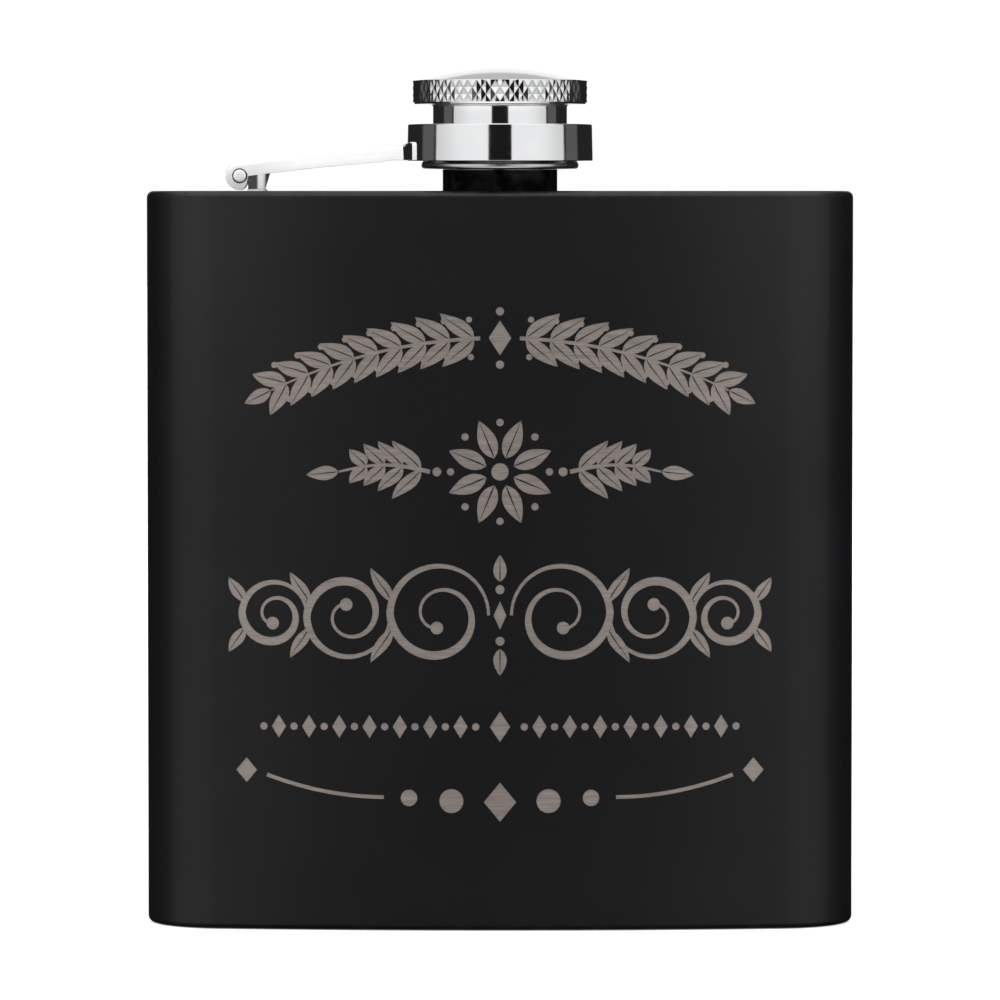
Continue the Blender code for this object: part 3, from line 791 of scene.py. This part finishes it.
def knurl(bm, low, high, loops_below, loops_above):
    """Rows of diamond pyramids, with turned loops below and above them that close on the axis.

    Every other corner of the grid is a groove crossing, and the rest are points.
    """
    columns = 2 * KNURL_COUNT
    angles = [TURN * j / columns + DOWN for j in range(columns)]

    def point(radius, angle, z):
        return bm.verts.new((*around((0, 0), radius, angle), z))

    grid = []
    for k in range(KNURL_HALF_ROWS + 1):
        z = low + (high - low) * k / KNURL_HALF_ROWS
        sunk = [KNURL_DEPTH if (j + k) % 2 == 0 else 0.0 for j in range(columns)]
        grid.append([point(HEAD_RADIUS - depth, angle, z) for depth, angle in zip(sunk, angles)])
    for k in range(KNURL_HALF_ROWS):
        for j in range(columns):
            n = (j + 1) % columns
            a, b, c, d = grid[k][j], grid[k][n], grid[k + 1][n], grid[k + 1][j]
            triangles = ((a, b, c), (a, c, d)) if (j + k) % 2 == 0 else ((a, b, d), (b, c, d))
            for triangle in triangles:
                bm.faces.new(triangle).material_index = 1
    sides = ((grid[0], loops_below, CEILING), (grid[-1], loops_above, KNURL_TOP + DOME_RISE))
    for previous, profile, tip_z in sides:
        for radius, z in profile:
            loop = [point(radius, angle, z) for angle in angles]
            bridge(bm, previous, loop)
            previous = loop
        tip = bm.verts.new((0, 0, HEIGHT + tip_z))
        for j in range(columns):
            bm.faces.new((previous[j], previous[(j + 1) % columns], tip))


def cap_head(polish, grip, turned_steel):
    """Domed top and stem. The grip band has a fine turned land above it, and below it a fillet in the
    duller, darker turned steel: a real turned finish, and painted shade under the head.
    """
    land, chamfer, reach, drop, dome_steps = 0.10, 0.26, 0.3, 0.34, 18
    under = HEIGHT + KNURL_BOTTOM
    low, high = under + chamfer, HEIGHT + KNURL_TOP - land
    edge = HEAD_RADIUS - KNURL_DEPTH / 2
    foot, bore = HEIGHT + LIP_TOP + 0.05, STEM_RADIUS - STEM_WALL
    below = [(edge, low - 0.02), (edge - chamfer / 2, under), (STEM_RADIUS + reach, under)]
    below += [(STEM_RADIUS + 0.12, under - 0.06), (STEM_RADIUS + 0.03, under - 0.2)]
    below += [(STEM_RADIUS, under - drop), (STEM_RADIUS, HEIGHT + 9.5), (STEM_RADIUS, foot)]
    below += [(bore, foot), (bore, HEIGHT + CEILING)]
    above = [(edge, high + land * 0.6), (edge - 0.06, high + land), (DOME_RADIUS + 0.06, high + land)]
    radius = (DOME_RADIUS**2 + DOME_RISE**2) / (2 * DOME_RISE)
    half_angle = math.asin(DOME_RADIUS / radius)
    for i in range(dome_steps):
        angle = half_angle * (1 - i / dome_steps)
        rise = radius * (math.cos(angle) - math.cos(half_angle))
        above.append((radius * math.sin(angle), HEIGHT + KNURL_TOP + rise))
    bm = bmesh.new()
    knurl(bm, low, high, below, above)
    for face in bm.faces:
        middle = face.calc_center_median()
        # Painted shade: the fillet under the head takes the darker turned steel.
        if under - drop < middle.z < under and math.hypot(middle.x, middle.y) < STEM_RADIUS + reach:
            face.material_index = 2
    steels = [polish, grip, turned_steel]
    add_piece("cap_head_fine", bm, steels, "cap", ["cap_head"], smooth=14)


def cap_insert(steel):
    """Female thread with the round-nosed lip that holds the ring on."""
    outer = STEM_RADIUS - STEM_WALL - 0.02
    nose = ((0.36, 0.0), (0.24, 0.16), (0.12, 0.32), (0.04, 0.46), (0.0, 0.6), (0.0, 0.72), (0.03, 0.86))
    nose += ((0.09, 1.0), (0.2, 1.1), (0.5, 1.16), (1.5, 1.19))
    profile = [(outer, INSERT_TOP), (outer, LIP_TOP)]
    profile += [(LIP_RADIUS - inward, LIP_TOP - drop) for inward, drop in nose]
    profile += [(FEMALE_ROOT + 0.35, INSERT_BOTTOM), (FEMALE_ROOT + 0.1, INSERT_BOTTOM + 0.1)]
    profile += [(FEMALE_ROOT, INSERT_BOTTOM + 0.35)]
    rings = circles(profile) + threaded(FEMALE_ROOT, FEMALE_CREST, FEMALE_SPAN)
    rings += circles([(FEMALE_ROOT, INSERT_TOP)])
    bm = loft(rings, closed=True)
    add_piece("thread_insert_fine", bm, [steel], "cap", ["thread_insert"])


def seal(plastic):
    """A loose disc with rounded edges and a shallow dish below."""
    edge, dish = 0.2, 0.06
    profile = [(0, SEAL_BOTTOM + dish), (4.6, SEAL_BOTTOM + dish), (4.9, SEAL_BOTTOM)]
    profile += fillet((SEAL_RADIUS - edge, SEAL_BOTTOM + edge), edge, DOWN, 4)
    profile += fillet((SEAL_RADIUS - edge, SEAL_TOP - edge), edge, 0, 4)
    profile += [(0, SEAL_TOP)]
    add_piece("cap_seal_fine", turned(profile, 96), [plastic], "seal", ["cap_seal"])


# ---- captive ring, arm and hinge


def captive_ring(polish):
    """An inverted cup with soft edges, a little narrower at its top."""
    inner = RING_RADIUS - RING_WALL
    low, high = RING_BOTTOM - 0.1, RING_TOP - 0.05
    top, soft, draft = 0.14, 0.07, 0.1
    profile = fillet((inner + soft, low + soft), soft, math.pi, 3)
    profile += fillet((RING_RADIUS - soft, low + soft), soft, DOWN, 4)
    profile += fillet((RING_RADIUS - draft - top, high - top), top, 0)
    profile += fillet((RING_HOLE + soft, high - soft), soft, QUARTER, 4)
    profile += [(RING_HOLE, high - RING_TOP_WALL), (inner, high - RING_TOP_WALL)]
    bm = turned(profile, 192)
    add_piece("captive_ring_fine", bm, [polish], "captive", ["captive_ring"])


def arm_top(u):
    """The arm's upper edge, u along it from the pin. It bows, and rounds off at the pin."""
    bowed = PIN_RISE + ARM_TOP + ARM_SLOPE * u - u * u / (2 * ARM_BOW_RADIUS)
    if u >= WEB_END:
        return bowed
    return min(bowed, PIN_RISE + math.sqrt(max(EAR_RADIUS**2 - u * u, 0.0)))


def arm_bottom(u):
    """The arm's lower edge, which drops to round ears beside the pin."""
    parallel = arm_top(max(u, WEB_END)) - ARM_DEPTH
    reach = EAR_HEEL if u > 0 else EAR_RADIUS
    if abs(u) >= reach:
        return parallel
    return min(parallel, PIN_RISE - EAR_RADIUS * math.sqrt(1 - (u / reach) ** 2))


def channel_path(half, top, bottom, fold, splay):
    """(y, z) round an inverted U with round folds, from one foot to the other. splay widens the feet."""
    fold = min(fold, (top - bottom) * 0.45)
    flat = half - splay - fold
    side = [(half, bottom), (half - splay * 0.35, bottom + (top - fold - bottom) * 0.5)]
    bend = arc((flat, top - fold), fold, 0, QUARTER, 6)
    crown = [(flat * (1 - i / 5), top + 0.05 * math.sin(QUARTER * i / 5)) for i in range(1, 6)]
    right = side + bend + crown
    return right + [(-y, z) for y, z in right[-2::-1]]


def channel_ring(outer, inner, x_at):
    """A closed section of the channel, with x as a function of y."""
    path = channel_path(*outer) + channel_path(*inner)[::-1]
    return [(x_at(y), y, HEIGHT + z) for y, z in path]


def on_ring(offset):
    """x as a function of y, on a cylinder this far outside the ring."""
    return lambda y: -math.sqrt((RING_RADIUS + offset) ** 2 - y * y)


def channel_rings():
    """The arm's sections from its nose to where the pad begins."""
    stations = [-EAR_RADIUS * math.cos(math.radians(a)) for a in (10, 20, 30, 40, 50, 60)]
    stations += [WEB_END, -0.5, -0.25, 0.0, 0.25, 0.48, 0.68, 0.83, 0.94, 1.02, 1.07, EAR_HEEL]
    stations += [1.3, 1.8, 2.6]
    stations += [ARM_LENGTH * share for share in (0.2, 0.3, 0.4, 0.5, 0.6, 0.7, 0.78, 0.83)]
    rings = []
    for u in stations:
        half = HALF_WIDTH_AT_PIN + (HALF_WIDTH_AT_RING - HALF_WIDTH_AT_PIN) * max(u, 0) / ARM_LENGTH
        top, bottom = arm_top(u), arm_bottom(u)
        splay = ARM_SPLAY * min(1.0, max(0.0, (u - EAR_RADIUS) / 3))
        inner_top = max(top - ARM_SHEET, bottom + 0.3)
        outer = (half, top, bottom, ARM_FOLD, splay)
        hollow = (half - ARM_SHEET, inner_top, bottom, ARM_INNER_FOLD, splay)
        rings.append(channel_ring(outer, hollow, lambda y, x=PIN_X + u: x))
    return rings


def pad_rings():
    """The pad's sections. Its middle keeps to the arm's own height, so that only its two tips rise."""
    low_top = arm_top(ARM_LENGTH)
    inner = (HALF_WIDTH_AT_RING - ARM_SHEET, low_top - ARM_SHEET, PAD_BOTTOM, ARM_INNER_FOLD, ARM_SPLAY)
    flare = ((2.3, 0.0), (1.6, 0.0), (0.85, 0.05), (0.68, 0.32), (0.63, 0.52), (0.6, 0.72), (0.58, 0.9))
    flare += ((0.54, 1.0), (0.1, 1.0), (0.0, 0.99))
    rings = []
    for offset, share in flare:
        half = HALF_WIDTH_AT_RING + (PAD_HALF_WIDTH - HALF_WIDTH_AT_RING) * share
        top = low_top + (PAD_TOP - low_top) * share
        outer = (half, top, PAD_BOTTOM + 0.02, ARM_FOLD, ARM_SPLAY * (1 - share))
        ring = []
        for x, y, z in channel_ring(outer, inner, on_ring(offset)):
            height = max(0.0, (z - HEIGHT - PAD_BOTTOM) / (top - PAD_BOTTOM))
            dip = max(0.0, top - low_top) * (1 - min(1.0, abs(y / half)) ** 2) * height
            ring.append((x, y, z - dip))
        rings.append(ring)
    return rings


def captive_arm(satin, polish, pin_gap_shade):
    """Folded channel with ears round the pin, and a pad with polished cheeks that hugs the ring."""
    bm = loft(channel_rings() + pad_rings(), ends="strips")
    bm.normal_update()
    for face in bm.faces:
        middle, normal = face.calc_center_median(), face.normal
        near_ring = math.hypot(middle.x, middle.y) < RING_RADIUS + 1.0
        if near_ring and abs(normal.x) > 0.6 and abs(normal.z) < 0.12:
            face.material_index = 1
    finishes = [satin, polish, pin_gap_shade]
    arm = add_piece("captive_arm_fine", bm, finishes, "captive", ["captive_arm"])
    inner_half = HALF_WIDTH_AT_PIN - ARM_SHEET
    far, end = PIN_X - 2 * EAR_RADIUS, PIN_X + WEB_END
    nose = [(far, -inner_half), (end, -inner_half), (end, inner_half), (far, inner_half)]
    cut(arm, prism(nose, HEIGHT - 1, HEIGHT + PIN_RISE + 2 * EAR_RADIUS))
    cut(arm, along_pin(drill(PIN_HOLE, -6, 6)))
    for side in (1, -1):
        floor_at, mouth = side * (HALF_WIDTH_AT_PIN - 0.38), side * (HALF_WIDTH_AT_PIN + 1)
        cut(arm, along_pin(drill(COUNTERBORE, floor_at, mouth)))
    # Painted shade: the counterbores round the pin's heads take the near-black material of the gap's
    # shadow.
    for face in arm.data.polygons:
        x, z = face.center.x / MM - PIN_X, face.center.z / MM - HEIGHT - PIN_RISE
        if math.hypot(x, z) < COUNTERBORE:
            face.material_index = 2
    shade(arm.data, 38)
    arm.visible_glossy = False  # the polish round it doesn't mirror it
    bevelled(arm, 0.06, 2, 50)


def onto_y(bm, centre):
    """Lays a shape that was made along Z along Y instead, and moves it to a centre."""
    bmesh.ops.rotate(bm, verts=bm.verts, matrix=Matrix.Rotation(QUARTER, 3, "X"))
    bmesh.ops.translate(bm, verts=bm.verts, vec=centre)
    return bm


def along_pin(profile):
    """A turned profile laid along the hinge pin's axis."""
    return onto_y(turned(profile, 48, lift=0), (PIN_X, 0, HEIGHT + PIN_RISE))


def hinge_pin(steel):
    """A pin with two low domed heads."""
    shank = PIN_HEAD_END - 0.16
    half = [(PIN_RADIUS, shank), (PIN_HEAD_RADIUS, shank), (PIN_HEAD_RADIUS, shank + 0.06)]
    half += [(0.74, shank + 0.12), (0.55, PIN_HEAD_END - 0.015), (0.3, PIN_HEAD_END), (0, PIN_HEAD_END)]
    profile = [(radius, -z) for radius, z in half[::-1]] + half
    add_piece("hinge_pin_fine", along_pin(profile), [steel], "flask", ["hinge_pin"])


def hinge_bracket(polish):
    """A bent strip with soft edges, trimmed round the pin and above its foot."""
    left = PIN_X - BRACKET_NOSE
    half, inner = BRACKET_HALF_WIDTH, BRACKET_HALF_WIDTH - BRACKET_SHEET
    bend = (BRACKET_BEND_X, 0.0)
    plan = [(left, -half)] + arc(bend, half, DOWN, QUARTER, 28) + [(left, half)]
    plan += [(left, inner)] + arc(bend, inner, QUARTER, DOWN, 28) + [(left, -inner)]
    strip = prism(plan, HEIGHT - 0.1, HEIGHT + PIN_RISE + BRACKET_NOSE + 0.05)
    bracket = add_piece("hinge_bracket_fine", strip, [polish], "flask", ["hinge_bracket"])
    side = arc((PIN_X, PIN_RISE), BRACKET_NOSE, QUARTER, 3 * QUARTER, 24)
    side += [(FOOT_LEFT, PIN_RISE - BRACKET_NOSE), (FOOT_LEFT, -1), (FOOT_RIGHT, -1), (FOOT_RIGHT, 0.3)]
    side += [(BRACKET_BEND_X + half - 0.05, BRACKET_RIGHT_TOP)]
    cut(bracket, onto_y(prism(side, -2 * half, 2 * half), (0, 0, HEIGHT)), "INTERSECT")
    cut(bracket, along_pin(drill(PIN_HOLE, -6, 6)))
    shade(bracket.data)
    bevelled(bracket, 0.06)


def hinge_braze(weld):
    """The uneven braze that holds the bracket's foot to the shoulder."""
    rng = random.Random(4)
    half, middle = BRACKET_HALF_WIDTH, BRACKET_BEND_X - 0.4
    foot = arc((BRACKET_BEND_X, 0.0), half, DOWN * 0.9, QUARTER * 0.9, 24)
    foot = [(min(x, FOOT_RIGHT), y) for x, y in [(FOOT_LEFT, -half)] + foot + [(FOOT_LEFT, half)]]
    rings = []
    for grow, z in ((0.02, -0.05), (0.3, -0.02), (0.26, 0.08), (0.1, 0.2), (-0.06, 0.24), (-0.3, 0.1)):
        ring = []
        for x, y in foot:
            scale = 1 + (grow + rng.uniform(-0.03, 0.03)) / math.hypot(x - middle, y)
            ring.append(((x - middle) * scale + middle, y * scale, HEIGHT + z))
        rings.append(ring)
    add_piece("hinge_braze", loft(rings, ends="faces"), [weld], "flask", smooth=60)


# ---- floor, light and camera


def floor(paint):
    """A plain disc just clear of the base, so that the two faces never fight."""
    bm = bmesh.new()
    bmesh.ops.create_circle(bm, cap_ends=True, radius=FLOOR_RADIUS, segments=96)
    ground = add_piece("floor", bm, [paint])
    ground.location.z = -FLOOR_DROP * MM
    ground.visible_glossy = False


def studio():
    """A broad lit front, dark flags to the sides, a lit ceiling and a backdrop. The camera sees white."""
    world = bpy.data.worlds.new("studio")
    bpy.context.scene.world = world
    world.use_nodes = True
    world.node_tree.nodes.clear()
    sky = Tree(world.node_tree, "Generated")

    def step(value, low, high):
        """0 below low, 1 above high and smooth between."""
        return sky.range(value, 0, 1, low, high, interpolation_type="SMOOTHSTEP")

    def blend(factor, a, b):
        """a where factor is 0 and b where it is 1."""
        return sky.math("ADD", a, sky.math("MULTIPLY", factor, sky.math("SUBTRACT", b, a)))

    def background(strength):
        node = sky.add("ShaderNodeBackground")
        preset(node, {"Color": (1, 1, 1, 1)})
        sky.fill(node.inputs["Strength"], strength)
        return node.outputs["Background"]

    x, y, z = (sky.axis(name) for name in "XYZ")
    degrees = 180 / math.pi
    azimuth = sky.math("ABSOLUTE", sky.math("ARCTAN2", x, sky.math("MULTIPLY", y, -1.0)))
    azimuth = sky.math("MULTIPLY", azimuth, degrees)
    rise = sky.math("MULTIPLY", sky.math("ARCSINE", z), degrees)

    softbox = blend(step(rise, *SOFTBOX_RISES), SOFTBOX_LOW, SOFTBOX)
    softbox = blend(step(rise, *SOFTBOX_DIMS), softbox, SOFTBOX_HIGH)
    softbox = sky.math("MULTIPLY", softbox, blend(step(azimuth, *SOFTBOX_FADES), 1.0, SOFTBOX_FADE))
    front = blend(step(rise, *FRONT_CEILING_STARTS), softbox, FRONT_CEILING)
    front = blend(step(rise, *GROUND_ENDS), GROUND_LIGHT, front)
    grey_band = sky.math("MULTIPLY", step(azimuth, *GREY_BAND_STARTS), step(azimuth, *GREY_BAND_STOPS))
    flag = blend(grey_band, FLAG_DARK, FLAG_GREY)
    flag = blend(step(rise, *FLAG_ENDS), flag, CEILING_LIGHT)
    behind = blend(step(rise, *BACKDROP_ENDS), BACKDROP, BACK_CEILING)
    behind = blend(step(rise, *BACK_CEILING_ENDS), behind, CEILING_LIGHT)
    level = blend(step(azimuth, *FLAG_STARTS), front, flag)
    level = blend(step(azimuth, *FLAG_STOPS), level, behind)
    level = blend(step(rise, *NADIR_ENDS), NADIR_LIGHT, level)
    seen = sky.add("ShaderNodeMixShader")
    sky.link(sky.add("ShaderNodeLightPath").outputs["Is Camera Ray"], seen.inputs["Fac"])
    sky.link(background(level), seen.inputs[1])
    sky.link(background(SEEN_WHITE), seen.inputs[2])
    out = sky.add("ShaderNodeOutputWorld")
    sky.link(seen.outputs["Shader"], out.inputs["Surface"])


def unlit(card):
    """Lets only reflections see a card."""
    card.visible_camera = False
    card.visible_diffuse = False
    card.visible_shadow = False


def camera_card(black):
    """The black card that the camera looks through. It darkens the middle of what faces the camera."""
    y = END_Y - CARD_DISTANCE
    bm = bmesh.new()
    corners = ((-1, CARD_LOW), (1, CARD_LOW), (1, CARD_HIGH), (-1, CARD_HIGH))
    bm.faces.new([bm.verts.new((side * CARD_HALF_WIDTH, y, z)) for side, z in corners])
    unlit(add_piece("camera_card", bm, [black]))


def foot_shade(black):
    """A black ring round the foot, in place of its contact shadow. It keeps the lower rim dark."""
    bm = bmesh.new()
    insets = (SHADE_INNER, SHADE_OUTER)
    inner, outer = ([bm.verts.new((x, y, -SHADE_DROP)) for x, y in outline(inset)] for inset in insets)
    bridge(bm, inner, outer)
    unlit(add_piece("foot_shade", bm, [black]))


def camera():
    """A long lens at the shoulder's height, tipped down a little, as in the photo."""
    data = bpy.data.cameras.new("camera")
    data.sensor_width, data.lens = 36.0, CAMERA_LENS
    data.clip_start, data.clip_end = 0.05, 50.0
    eye = bpy.data.objects.new("camera", data)
    eye.location = (0.0, (END_Y - CAMERA_DISTANCE) * MM, HEIGHT * MM)
    eye.rotation_euler = (math.radians(90 - CAMERA_PITCH), 0.0, 0.0)
    bpy.context.scene.collection.objects.link(eye)
    bpy.context.scene.camera = eye


def main():
    # Painted shade, near black, in the gap round the hinge pin's heads, braze tinted by heat, and moulded
    # white plastic.
    gap_shadow_black, dust_and_gap_shade = (0.006, 0.006, 0.006), (0.12, 0.12, 0.12)
    pin_gap_shade = mottled("painted_pin_gap_shade", (2600, 3), gap_shadow_black, dust_and_gap_shade, (0.5, 0.7), (0.4, 0.02), 0.0, (0.45, 0.75))
    dull, straw = (0.30, 0.29, 0.28), (0.62, 0.60, 0.56)
    weld = mottled("weld_steel", (2400, 3), dull, straw, (0.28, 0.5), (0.5, 0.03), 1.0)
    chalk, ivory = (0.60, 0.60, 0.57), (0.72, 0.72, 0.69)
    plastic = mottled("seal_plastic", (700, 4), chalk, ivory, (0.42, 0.58), (0.2, 0.03), 0.0)
    coat = black_coat()
    polish = polished_steel()
    # The knurled steel paints shade into the grooves, between these radii.
    groove = (HEAD_RADIUS - KNURL_DEPTH, HEAD_RADIUS - KNURL_DEPTH * 0.7)
    grip = polished_steel("knurled_steel", groove)
    steel = machined_steel()
    flask_body(coat, engraved_steel(), steel)
    plate("shoulder_fine", coat, "top_plate", HEIGHT, -1, WELD_RADIUS + 0.02)
    plate("base_fine", coat, "base_plate", 0.0, 1)
    # The neck's coat is the body's coat with its colours scaled to 0.3, painted shade from the cap above,
    # and with less sheen.
    neck(black_coat("neck_coat_painted_shade", 0.3, 0.012), steel)
    cap_head(polish, grip, steel)
    cap_insert(steel)
    seal(plastic)
    captive_ring(polish)
    captive_arm(satin_steel(), polish, pin_gap_shade)
    hinge_pin(satin_steel("pin_steel"))
    hinge_bracket(polished_steel("bracket_steel", dullness=0.16))
    hinge_braze(weld)
    floor(stage_paint("floor_paint", 3, (0.90, 0.93), (0.75, 0.85), 0.1, FLOOR_GLOW, (0.3, 0.7)))
    studio()
    black = stage_paint("card_black", 40, (0.0, 0.002), (0.8, 0.9), 0.0, CARD_GLOW)
    camera_card(black)
    foot_shade(black)
    camera()
    bpy.context.scene.view_settings.view_transform = "Standard"


main()
